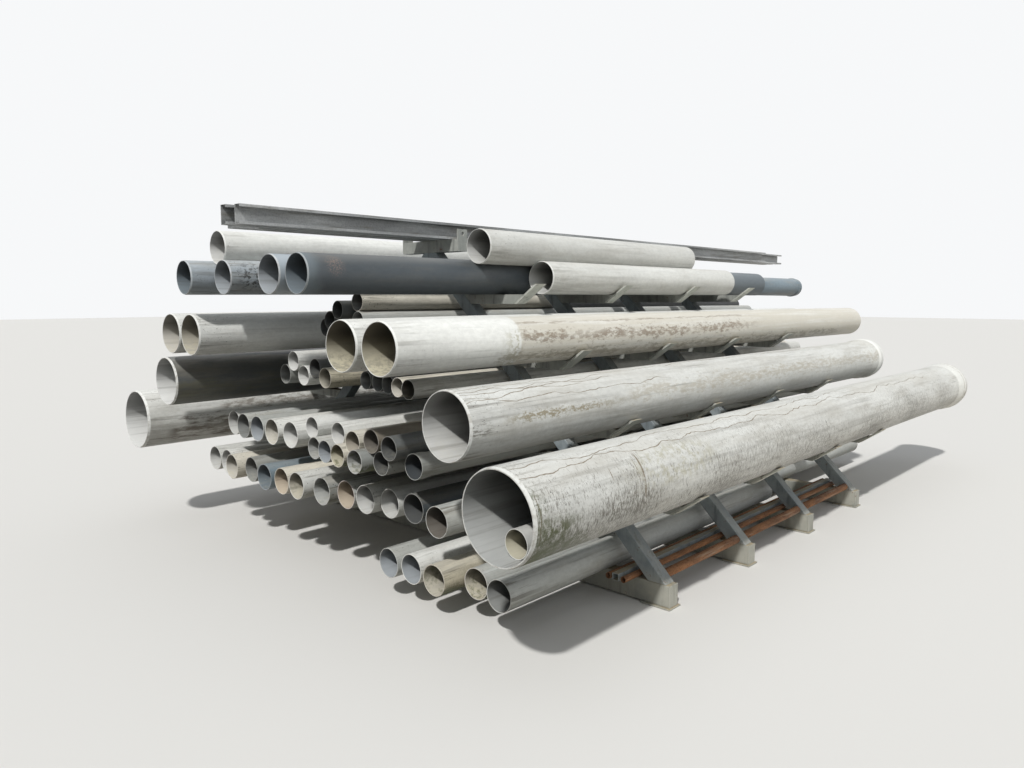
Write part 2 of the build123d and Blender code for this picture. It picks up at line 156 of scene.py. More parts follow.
class Finish:
    """A material that is put together from noise, bands and mixes."""

    def __init__(self, name, roughness=0.5, metallic=0.0):
        self.material = bpy.data.materials.new(name)
        self.material.use_nodes = True
        self.tree = self.material.node_tree
        self.shader = self.tree.nodes["Principled BSDF"]
        self.shader.inputs["Roughness"].default_value = roughness
        self.shader.inputs["Metallic"].default_value = metallic

    def feed(self, socket, value):
        feed(self.tree, socket, value)

    def calculate(self, operation, first, second=0.0):
        node = self.tree.nodes.new("ShaderNodeMath")
        node.operation = operation
        self.feed(node.inputs[0], first)
        self.feed(node.inputs[1], second)
        return node.outputs[0]

    def distance_between(self, first, second):
        return self.calculate("ABSOLUTE", self.calculate("SUBTRACT", first, second))

    def product(self, *values):
        result = values[0]
        for value in values[1:]:
            result = self.calculate("MULTIPLY", result, value)
        return result

    def attribute(self, name, output="Vector"):
        node = self.tree.nodes.new("ShaderNodeAttribute")
        node.attribute_name = name
        return node.outputs[output]

    def split(self, vector):
        node = self.tree.nodes.new("ShaderNodeSeparateXYZ")
        self.feed(node.inputs[0], vector)
        return node.outputs[0], node.outputs[1], node.outputs[2]

    def object_point(self):
        return self.tree.nodes.new("ShaderNodeTexCoord").outputs["Object"]

    def shifted_point(self):
        """Object coordinates, moved by each pipe's own amount so that no two look alike."""
        node = self.tree.nodes.new("ShaderNodeVectorMath")
        node.operation = "ADD"
        self.feed(node.inputs[0], self.object_point())
        self.feed(node.inputs[1], self.attribute("shift"))
        return node.outputs[0]

    def facing_up(self):
        """How far the surface faces up, from -1 to 1."""
        return self.split(self.tree.nodes.new("ShaderNodeTexCoord").outputs["Normal"])[2]

    def stretch(self, vector, scale):
        node = self.tree.nodes.new("ShaderNodeMapping")
        self.feed(node.inputs["Vector"], vector)
        node.inputs["Scale"].default_value = scale
        return node.outputs[0]

    def noise(self, vector, scale, detail=4.0, roughness=0.55):
        """Cloudy noise; scale is one number, or one for each axis."""
        if isinstance(scale, tuple):
            vector = self.stretch(vector, scale)
            scale = 1.0
        node = self.tree.nodes.new("ShaderNodeTexNoise")
        self.feed(node.inputs["Vector"], vector)
        node.inputs["Scale"].default_value = scale
        node.inputs["Detail"].default_value = detail
        node.inputs["Roughness"].default_value = roughness
        return node.outputs["Fac"]

    def dots(self, vector, scale):
        """Distance from the nearest of many scattered points."""
        node = self.tree.nodes.new("ShaderNodeTexVoronoi")
        self.feed(node.inputs["Vector"], vector)
        node.inputs["Scale"].default_value = scale
        return node.outputs["Distance"]

    def band(self, value, start, end, low=0.0, high=1.0):
        """A smooth step from low to high as value goes from start to end."""
        node = self.tree.nodes.new("ShaderNodeMapRange")
        node.interpolation_type = "SMOOTHSTEP"
        self.feed(node.inputs["Value"], value)
        node.inputs["From Min"].default_value = start
        node.inputs["From Max"].default_value = end
        node.inputs["To Min"].default_value = low
        node.inputs["To Max"].default_value = high
        return node.outputs[0]

    def mix(self, factor, first, second, blend="MIX"):
        node = self.tree.nodes.new("ShaderNodeMix")
        node.data_type = "RGBA"
        node.blend_type = blend
        self.feed(node.inputs[0], factor)
        self.feed(node.inputs[6], first)
        self.feed(node.inputs[7], second)
        return node.outputs[2]

    def multiply(self, colour, level):
        return self.mix(1.0, colour, level, "MULTIPLY")

    def paint(self, colour):
        self.feed(self.shader.inputs["Base Color"], colour)

    def roughness(self, value):
        self.feed(self.shader.inputs["Roughness"], value)

    def bump(self, height, strength, distance):
        node = self.tree.nodes.new("ShaderNodeBump")
        node.inputs["Strength"].default_value = strength
        node.inputs["Distance"].default_value = distance
        self.feed(node.inputs["Height"], height)
        self.feed(self.shader.inputs["Normal"], node.outputs[0])


# Colours of the plastic, as they look in the sun
plastics = {
    "white": screen(231, 232, 228),
    "white grey": screen(210, 211, 207),
    "pale grey": screen(184, 187, 184),
    "grey": screen(148, 151, 148),
    "cream": screen(221, 216, 202),
    "dirty cream": screen(200, 193, 172),
    "beige": screen(194, 183, 163),
    "peach": screen(210, 190, 160),
    "brown grey": screen(122, 115, 104),
    "moss cream": screen(206, 199, 168),
    "light blue grey": screen(170, 179, 186),
    "blue grey": screen(118, 134, 144),
    "slate": screen(70, 77, 82),
    "dark grey": screen(92, 95, 95),
    "black grey": screen(70, 73, 74),
    "olive": screen(180, 172, 144),
}

# Colours of dirt, growth and stains, of paler stretches, and of painted shade and a painted sky
# reflection
run_off = screen(84, 78, 66)
brown = screen(104, 88, 62)
film_dirt = screen(138, 131, 116)
soot = screen(50, 49, 46)
silt = screen(206, 200, 176)
silt_green = screen(150, 144, 108)
dust = screen(206, 203, 194)
algae = screen(70, 76, 36)
lichen = screen(124, 107, 88)
ochre = screen(146, 124, 112)
# Painted shade in brown, for the ceiling of the bores
ceiling_brown_shade = screen(76, 64, 46)
olive_crust = screen(128, 116, 84)
dry_crust = screen(150, 138, 112)
pale_film = screen(198, 192, 177)
dark_mud = screen(88, 74, 60)
thin_mud = screen(96, 82, 66)
olive_underside = screen(104, 102, 82)
# Painted reflection of the sky, for the top of a dark pipe
navy_sky_reflection = screen(66, 76, 92)
pale_front_slate = screen(108, 118, 124)
far_end_slate = screen(104, 114, 120)
far_end_blue = screen(100, 110, 117)

# Colours of the steel
rust_pit = screen(72, 46, 32)
mill_skin = screen(164, 142, 122)
paint_streak = screen(70, 72, 71)
low_dust = screen(164, 162, 150)
shelf_dust = screen(158, 142, 112)
chip_rust = screen(112, 72, 48)
dull_zinc = screen(134, 136, 136)
bright_zinc = screen(184, 186, 186)
zinc_stain = screen(110, 104, 90)

# Colours of the floor: as it is seen, and as it lights the stack from the front and from the sides
seen_floor = screen(216, 215, 212)
front_bounce = screen(72, 69, 64)
side_bounce = screen(206, 199, 186)

# A place on a pipe, as nodes give it: the shifted point, the way along in metres, the angle from the
# pipe's top in radians, positive on the far side, and how high it is, from 1 at the top to -1
Spot = namedtuple("Spot", "point along angle up")

# Finishes of the pipes


def pipe_skin(name, extras=()):
    """The weathered outside of the pipes. Each extra adds its own marks to the colour."""
    skin = Finish(name)
    point = skin.shifted_point()
    along, up, side = skin.split(skin.attribute("place"))
    grime, moss, drips = skin.split(skin.attribute("wear"))
    colour = skin.attribute("tone", "Color")

    cloud = skin.noise(point, (1.2, 5.0, 5.0), 6.0, 0.62)
    colour = skin.multiply(colour, skin.band(cloud, 0.3, 0.7, 0.88, 1.04))
    mottle = skin.noise(point, (30.0, 46.0, 46.0), 5.0, 0.7)
    colour = skin.multiply(colour, skin.band(mottle, 0.34, 0.66, 0.93, 1.04))
    film = skin.noise(point, (1.8, 9.0, 9.0), 8.0, 0.72)
    filmed = skin.product(skin.band(film, 0.46, 0.64), grime, 0.36)
    colour = skin.mix(filmed, colour, film_dirt)

    # Long streaks and scratches, in broad and in fine strands
    streak = skin.noise(point, (0.7, 22.0, 22.0), 5.0, 0.62)
    streaked = skin.product(skin.band(streak, 0.5, 0.72), grime, 0.42)
    colour = skin.mix(streaked, colour, run_off)
    scratch = skin.noise(point, (1.6, 90.0, 90.0), 3.0, 0.6)
    scratched = skin.product(skin.band(scratch, 0.58, 0.7), skin.band(cloud, 0.42, 0.6), grime, 0.5)
    colour = skin.mix(scratched, colour, soot)

    # Smears that run back from the rim
    smear = skin.noise(point, (2.2, 46.0, 46.0), 4.0, 0.65)
    smeared = skin.product(skin.band(smear, 0.52, 0.64), skin.band(along, 0.32, 0.02), grime, 0.7)
    colour = skin.mix(smeared, colour, run_off)

    # Short flecks where rain has run down, thicker towards the underside
    drip = skin.noise(point, (150.0, 30.0, 30.0), 3.0, 0.6)
    fine_drip = skin.noise(point, (330.0, 64.0, 64.0), 2.0, 0.6)
    drip_patch = skin.noise(point, (1.8, 3.4, 3.4), 4.0)
    wet = skin.calculate("ADD", skin.band(up, 0.9, -0.5, -0.13, -0.03), skin.product(drip_patch, 0.36))
    coarse_dripped = skin.band(skin.calculate("ADD", drip, wet), 0.66, 0.76)
    fine_dripped = skin.band(skin.calculate("ADD", fine_drip, wet), 0.68, 0.76)
    either_dripped = skin.calculate("MAXIMUM", coarse_dripped, fine_dripped)
    colour = skin.mix(skin.product(either_dripped, drips, 0.62), colour, run_off)

    # Darker towards the underside, in clouds, and dust on top
    under = skin.product(skin.band(up, -0.1, -0.95), skin.band(cloud, 0.25, 0.6), grime, 0.5)
    colour = skin.mix(under, colour, soot)
    settled = skin.product(skin.band(up, 0.35, 0.95), skin.band(cloud, 0.62, 0.36), grime, 0.45)
    colour = skin.mix(settled, colour, dust)

    # Moss, low down near the mouth
    growth = skin.noise(point, 16.0, 8.0, 0.74)
    near_mouth = skin.band(along, 0.9, 0.02)
    low_down = skin.band(up, 0.15, -0.75)
    growing = skin.calculate("ADD", growth, skin.product(near_mouth, low_down, 0.2))
    grown = skin.product(skin.band(growing, 0.56, 0.66), low_down, near_mouth, moss)
    colour = skin.mix(grown, colour, algae)

    # Dark specks, and smuts round the mouth
    speck = skin.band(skin.dots(point, 70.0), 0.16, 0.09)
    specked = skin.product(speck, skin.band(drip_patch, 0.52, 0.66), grime, 0.6)
    colour = skin.mix(specked, colour, soot)
    smut = skin.band(skin.noise(point, (70.0, 90.0, 90.0), 3.0, 0.7), 0.62, 0.68)
    smut_zone = skin.product(skin.band(along, 0.45, 0.1), skin.band(drip_patch, 0.44, 0.6))
    smutted = skin.product(smut, smut_zone, grime, 1.3)
    colour = skin.mix(skin.calculate("MINIMUM", smutted, 0.85), colour, soot)

    spot = Spot(point, along, skin.calculate("ARCTAN2", side, up), up)
    for extra in extras:
        colour = extra(skin, colour, spot)

    skin.paint(colour)
    skin.roughness(skin.band(cloud, 0.3, 0.7, 0.6, 0.4))
    grain = skin.noise(point, (60.0, 240.0, 240.0), 3.0, 0.6)
    skin.bump(grain, 0.25, 0.0006)
    return skin.material


def meanders(lines):
    """Brown wandering lines; each is an angle from the top in radians, and where it ends."""

    def draw(skin, colour, spot):
        for number, (start, end) in enumerate(lines):
            offset = skin.tree.nodes.new("ShaderNodeCombineXYZ")
            skin.feed(offset.inputs[0], spot.along)
            offset.inputs[1].default_value = 7.3 * number
            sway = skin.noise(offset.outputs[0], 2.8, 4.0, 0.46)
            middle = skin.calculate("ADD", skin.product(sway, 0.9), start - 0.45)
            distance = skin.distance_between(spot.angle, middle)
            width = skin.band(skin.noise(offset.outputs[0], 9.0, 2.0), 0.3, 0.7, 0.006, 0.022)
            line = skin.band(skin.calculate("DIVIDE", distance, width), 1.0, 0.45)
            present = skin.band(spot.along, end, end - 0.15)
            colour = skin.mix(skin.product(line, present, 0.85), colour, brown)
        return colour

    return draw


def long_stain(middle, width, span, stain, strength, grain=(26.0, 60.0, 60.0)):
    """A mottled stain along a pipe: its middle and width as angles, its span along the pipe."""

    def draw(skin, colour, spot):
        wander = skin.calculate("SUBTRACT", skin.noise(spot.point, (2.4, 0.6, 0.6), 3.0), 0.5)
        swayed = skin.calculate("ADD", spot.angle, skin.product(wander, width))
        away = skin.distance_between(swayed, middle)
        mottle = skin.noise(spot.point, grain, 6.0, 0.74)
        patch = skin.noise(spot.point, (2.6, 5.0, 5.0), 3.0)
        weight = skin.calculate("ADD", mottle, skin.band(away, width, 0.0, -0.12, 0.05))
        start, end = span
        stained = skin.product(
            skin.band(weight, 0.44, 0.6),
            skin.band(patch, 0.28, 0.5, 0.35, 1.0),
            skin.band(away, width * 1.3, width * 0.7),
            skin.band(spot.along, start, start + 0.08),
            skin.band(spot.along, end, end - 0.6),
            strength,
        )
        return skin.mix(stained, colour, stain)

    return draw


def film_beyond(start, film, strength):
    """A film of dirt that begins at a ragged edge, with a greenish fringe before it."""

    def draw(skin, colour, spot):
        ragged = skin.noise(spot.point, (30.0, 30.0, 30.0), 4.0, 0.7)
        fringe = skin.product(
            skin.band(spot.along, start - 0.16, start - 0.01),
            skin.band(spot.along, start + 0.03, start + 0.01),
            skin.band(ragged, 0.46, 0.56),
            skin.band(spot.up, 0.75, 0.2),
            0.55,
        )
        colour = skin.mix(fringe, colour, silt_green)
        strand = skin.band(skin.noise(spot.point, (1.4, 40.0, 40.0), 5.0, 0.65), 0.3, 0.6, 0.5, 1.0)
        beyond = skin.band(spot.along, start - 0.004, start + 0.012)
        return skin.mix(skin.product(beyond, strand, strength), colour, film)

    return draw


def ring_mark(place, width, low, high):
    """A narrow brown ring round part of a pipe, from low to high as angles from the top."""

    def draw(skin, colour, spot):
        bow = skin.product(skin.noise(spot.point, (0.4, 5.0, 5.0), 2.0), 0.05)
        away = skin.distance_between(skin.calculate("ADD", spot.along, bow), place)
        broken = skin.band(skin.noise(spot.point, 40.0, 4.0), 0.34, 0.5)
        part = skin.product(
            skin.band(spot.angle, low, low + 0.2), skin.band(spot.angle, high, high - 0.2)
        )
        marked = skin.product(skin.band(away, width, width * 0.4), broken, part, 0.8)
        return skin.mix(marked, colour, brown)

    return draw


def patch_of(place, size, growth, strength, grain=30.0, angle_at=-1.2, spread=3.0):
    """A mottled patch on a pipe, round a place along it and an angle from its top."""

    def draw(skin, colour, spot):
        off_along = skin.product(skin.calculate("SUBTRACT", spot.along, place), 1.0 / size)
        off_angle = skin.product(skin.calculate("SUBTRACT", spot.angle, angle_at), 1.0 / spread)
        squares = [skin.product(part, part) for part in (off_along, off_angle)]
        away = skin.calculate("SQRT", skin.calculate("ADD", *squares))
        mottle = skin.band(skin.noise(spot.point, grain, 6.0, 0.75), 0.46, 0.58)
        return skin.mix(skin.product(skin.band(away, 1.0, 0.3), mottle, strength), colour, growth)

    return draw


def paler_mouth(reach, pale, strength):
    """A front end that is paler than the rest, with a ragged edge."""

    def draw(skin, colour, spot):
        ragged = skin.product(skin.noise(spot.point, 8.0, 3.0), 0.1)
        edge = skin.calculate("ADD", spot.along, ragged)
        return skin.mix(skin.band(edge, reach, reach - 0.12, 0.0, strength), colour, pale)

    return draw


def far_fade(start, colour_beyond, strength, reach=0.8):
    """Another colour from some way along to the far end, such as a socket's."""

    def draw(skin, colour, spot):
        beyond = skin.band(spot.along, start, start + reach, 0.0, strength)
        return skin.mix(beyond, colour, colour_beyond)

    return draw


def pipe_bore():
    """The inside of the pipes: painted shade that darkens inwards and towards the ceiling, with silt
    along the bottom.
    """
    bore = Finish("pipe_bore")
    point = bore.shifted_point()
    along, up = bore.split(bore.attribute("place"))[:2]
    depth = bore.split(bore.attribute("depth"))[0]
    grime, moss, silted = bore.split(bore.attribute("inside"))
    colour = bore.attribute("lining", "Color")
    cloud = bore.noise(point, (3.0, 9.0, 9.0), 5.0, 0.6)
    colour = bore.multiply(colour, bore.band(cloud, 0.3, 0.7, 0.86, 1.0))
    lines = bore.noise(point, (1.0, 44.0, 44.0), 4.0)
    colour = bore.mix(bore.product(bore.band(lines, 0.5, 0.7), grime, 0.4), colour, run_off)

    # Silt along the bottom, and painted shade in brown on the ceiling
    mottle = bore.noise(point, (30.0, 52.0, 52.0), 6.0, 0.74)
    bottom = bore.product(bore.band(up, 0.0, -0.85), bore.band(mottle, 0.42, 0.56), silted)
    colour = bore.mix(bottom, colour, silt)
    ceiling = bore.product(bore.band(up, -0.3, 0.5), silted, 0.8)
    colour = bore.mix(ceiling, colour, ceiling_brown_shade)

    # Painted shade in the colour of soot, thickening inwards and towards the ceiling
    film = bore.product(bore.band(depth, 0.4, 3.0), bore.band(grime, 0.0, 0.8, 0.6, 0.9))
    colour = bore.mix(film, colour, soot)
    ceiling_painted_shade = bore.product(bore.band(up, -0.2, 0.6), bore.band(depth, 0.0, 0.9, 0.5, 0.85))
    colour = bore.mix(ceiling_painted_shade, colour, soot)

    # Specks of silt, and moss near the mouth
    speck = bore.band(bore.dots(point, 60.0), 0.14, 0.07)
    colour = bore.mix(bore.product(speck, bore.band(cloud, 0.5, 0.62), 0.6), colour, silt)
    growth = bore.band(bore.noise(point, 22.0, 6.0, 0.7), 0.5, 0.62)
    colour = bore.mix(bore.product(growth, moss, bore.band(along, 0.4, 0.0), 0.7), colour, algae)

    bore.paint(colour)
    bore.roughness(bore.band(cloud, 0.3, 0.7, 0.62, 0.45))
    bore.bump(bore.noise(point, 160.0, 3.0), 0.25, 0.0006)
    return bore.material


def pipe_cut():
    """The sawn end of the wall, a little paler than the weathered skin."""
    cut = Finish("pipe_cut", 0.6)
    point = cut.shifted_point()
    grime = cut.split(cut.attribute("wear"))[0]
    colour = cut.mix(1.0, cut.attribute("tone", "Color"), cut.attribute("lining", "Color"), "LIGHTEN")
    colour = cut.mix(0.22, colour, plastics["white"])
    dirt = cut.band(cut.noise(point, 30.0, 5.0, 0.7), 0.44, 0.66)
    colour = cut.mix(cut.product(dirt, grime, 0.6), colour, film_dirt)
    cut.paint(colour)
    cut.bump(cut.noise(point, 400.0, 2.0), 0.5, 0.0008)
    return cut.material


skins = {
    "plain": pipe_skin("pipe_skin"),
    "ringed": pipe_skin(
        "ringed_pipe_skin",
        [
            patch_of(1.0, 0.5, silt_green, strength=0.5, grain=24.0, angle_at=-1.1, spread=0.7),
            patch_of(
                0.6, 0.34, run_off, strength=0.75, grain=(60.0, 26.0, 26.0), angle_at=-1.7, spread=0.45
            ),
            patch_of(
                1.9, 0.9, run_off, strength=0.4, grain=(90.0, 26.0, 26.0), angle_at=-1.5, spread=0.6
            ),
            meanders([(-0.55, 5.2), (-0.28, 3.4)]),
            ring_mark(place=0.755, width=0.008, low=-1.75, high=-0.55),
            ring_mark(place=0.72, width=0.004, low=-1.5, high=-0.7),
            ring_mark(place=0.54, width=0.004, low=-1.2, high=-0.75),
            ring_mark(place=0.035, width=0.005, low=-2.6, high=-0.6),
            ring_mark(place=0.06, width=0.004, low=-2.6, high=-0.9),
            patch_of(0.06, 0.22, algae, strength=0.85, grain=26.0, angle_at=-2.05, spread=0.75),
            patch_of(0.12, 0.26, algae, strength=0.85, grain=15.0, angle_at=-1.95, spread=0.7),
            patch_of(0.02, 0.1, algae, strength=0.6, grain=40.0, angle_at=-1.3, spread=0.8),
            far_fade(5.93, plastics["white"], strength=0.5, reach=0.02),
            ring_mark(place=6.115, width=0.007, low=-2.9, high=0.9),
            ring_mark(place=6.152, width=0.007, low=-2.9, high=0.9),
        ],
    ),
    "cracked": pipe_skin(
        "cracked_pipe_skin",
        [
            long_stain(-1.45, 0.22, (0.18, 1.3), olive_crust, strength=0.8, grain=(44.0, 90.0, 90.0)),
            long_stain(-1.3, 0.5, (1.1, 5.5), dry_crust, strength=0.45, grain=(16.0, 60.0, 60.0)),
            patch_of(
                0.05, 0.12, run_off, strength=0.7, grain=(20.0, 90.0, 90.0), angle_at=-1.6, spread=0.3
            ),
            meanders([(-0.5, 1.15), (-0.44, 1.1), (-0.62, 0.85), (-0.9, 1.6), (-0.2, 4.0)]),
            far_fade(4.92, plastics["white"], strength=0.85, reach=0.015),
        ],
    ),
    "lichened": pipe_skin(
        "lichened_pipe_skin",
        [
            film_beyond(0.79, pale_film, strength=0.75),
            long_stain(-0.74, 0.12, (0.76, 3.6), lichen, strength=0.6, grain=(12.0, 80.0, 80.0)),
            long_stain(-1.42, 0.5, (0.76, 3.6), lichen, strength=0.75, grain=(20.0, 52.0, 52.0)),
            long_stain(-2.3, 0.5, (0.6, 5.4), film_dirt, strength=0.7, grain=(12.0, 40.0, 40.0)),
        ],
    ),
    "stained": pipe_skin(
        "stained_pipe_skin",
        [
            long_stain(-2.0, 0.75, (0.12, 5.5), dark_mud, strength=0.75, grain=(5.0, 30.0, 30.0)),
            long_stain(-1.25, 0.3, (0.5, 3.4), thin_mud, strength=0.6, grain=(14.0, 40.0, 40.0)),
        ],
    ),
    # Painted reflection of the sky on the top of a dark pipe, and an olive underside
    "painted_sky_top": pipe_skin(
        "painted_sky_reflection_pipe_skin",
        [
            long_stain(-1.9, 0.7, (-0.1, 5.5), olive_underside, strength=0.55, grain=(3.0, 30.0, 30.0)),
            long_stain(-0.3, 0.5, (0.1, 5.5), navy_sky_reflection, strength=0.6, grain=(2.0, 12.0, 12.0)),
        ],
    ),
    "smutty": pipe_skin(
        "smutty_pipe_skin",
        [patch_of(0.14, 0.13, soot, strength=0.85, grain=(44.0, 60.0, 60.0), angle_at=-1.5, spread=1.3)],
    ),
    "slate": pipe_skin(
        "slate_pipe_skin",
        [
            paler_mouth(0.17, pale_front_slate, strength=0.85),
            patch_of(0.16, 0.07, ochre, strength=0.5, grain=130.0, angle_at=-1.1, spread=0.8),
            far_fade(3.2, far_end_slate, strength=0.7),
        ],
    ),
    "pale_ended": pipe_skin(
        "blue_pale_ends_pipe_skin",
        [
            paler_mouth(1.4, plastics["light blue grey"], strength=0.85),
            far_fade(3.4, far_end_blue, strength=0.8),
            ring_mark(place=4.84, width=0.006, low=-2.9, high=2.9),
            ring_mark(place=4.9, width=0.006, low=-2.9, high=2.9),
            ring_mark(place=4.95, width=0.006, low=-2.9, high=2.9),
        ],
    ),
}
bore_finish = pipe_bore()
cut_finish = pipe_cut()

# Finishes of the steel


def rust(name, dark, bright):
    """Steel that has rusted all over, with streaks of the old grey skin."""
    steel = Finish(name, 0.8)
    point = steel.object_point()
    cloud = steel.noise(point, (4.0, 16.0, 16.0), 8.0, 0.7)
    pits = steel.noise(point, 90.0, 5.0, 0.7)
    colour = steel.mix(steel.band(cloud, 0.35, 0.65), dark, bright)
    colour = steel.mix(steel.product(steel.band(pits, 0.52, 0.66), 0.6), colour, rust_pit)
    bare = steel.noise(point, (3.0, 50.0, 50.0), 5.0, 0.7)
    colour = steel.mix(steel.product(steel.band(bare, 0.54, 0.66), 0.7), colour, mill_skin)
    steel.paint(colour)
    steel.roughness(steel.band(pits, 0.3, 0.7, 0.7, 0.92))
    steel.bump(steel.calculate("ADD", cloud, pits), 0.5, 0.0012)
    return steel.material


def rack_paint(name, dark, bright):
    """Worn grey paint on the rack's steel, dusty near the ground, with rust at its chips."""
    paint = Finish(name)
    point = paint.object_point()
    height = paint.split(point)[2]
    cloud = paint.noise(point, 5.0, 7.0, 0.65)
    fine = paint.noise(point, 48.0, 6.0, 0.7)
    colour = paint.mix(paint.band(cloud, 0.35, 0.65), dark, bright)
    streak = paint.noise(point, (26.0, 26.0, 3.0), 5.0, 0.65)
    colour = paint.mix(paint.product(paint.band(streak, 0.5, 0.7), 0.5), colour, paint_streak)
    dusty = paint.product(paint.band(height, 0.2, 0.1), paint.band(cloud, 0.25, 0.55), 0.45)
    colour = paint.mix(dusty, colour, low_dust)
    level = paint.band(paint.facing_up(), 0.6, 0.95)
    colour = paint.mix(paint.product(level, paint.band(cloud, 0.3, 0.55), 0.75), colour, shelf_dust)
    chipped = paint.product(paint.band(fine, 0.6, 0.66), paint.band(cloud, 0.48, 0.6))
    colour = paint.mix(chipped, colour, chip_rust)
    paint.paint(colour)
    paint.roughness(paint.band(cloud, 0.3, 0.7, 0.5, 0.72))
    paint.bump(fine, 0.25, 0.001)
    return paint.material


def galvanised():
    """Zinc on sheet steel, dulled and stained, with its grains."""
    zinc = Finish("galvanised_sheet", 0.5, 0.35)
    point = zinc.object_point()
    grain = zinc.dots(point, 90.0)
    cloud = zinc.noise(point, (1.5, 12.0, 12.0), 6.0, 0.65)
    colour = zinc.mix(zinc.band(cloud, 0.35, 0.65), dull_zinc, bright_zinc)
    colour = zinc.multiply(colour, zinc.band(grain, 0.1, 0.7, 0.88, 1.06))
    stain = zinc.noise(point, (2.0, 30.0, 30.0), 6.0, 0.72)
    colour = zinc.mix(zinc.product(zinc.band(stain, 0.5, 0.68), 0.6), colour, zinc_stain)
    zinc.paint(colour)
    zinc.roughness(zinc.band(cloud, 0.3, 0.7, 0.46, 0.64))
    zinc.bump(cloud, 0.2, 0.001)
    return zinc.material


rust_finish = rust("rusted_steel", screen(102, 72, 50), screen(154, 108, 72))
rack_finish = rack_paint("rack_paint", screen(138, 141, 136), screen(168, 170, 164))
leg_finish = rack_paint("leg_paint", screen(124, 133, 138), screen(152, 161, 165))
stop_finish = rack_paint("stop_paint", screen(164, 167, 160), screen(194, 196, 188))
zinc_finish = galvanised()


# How a pipe looks: its plastic, how dirty, mossy and drip-marked it is, its skin, the silt inside
# and the colour of its bore where that differs from the outside
Look = namedtuple(
    "Look", "plastic grime moss drips skin silted lining", defaults=(0.5, 0.0, 0.0, "plain", 0.1, None)
)

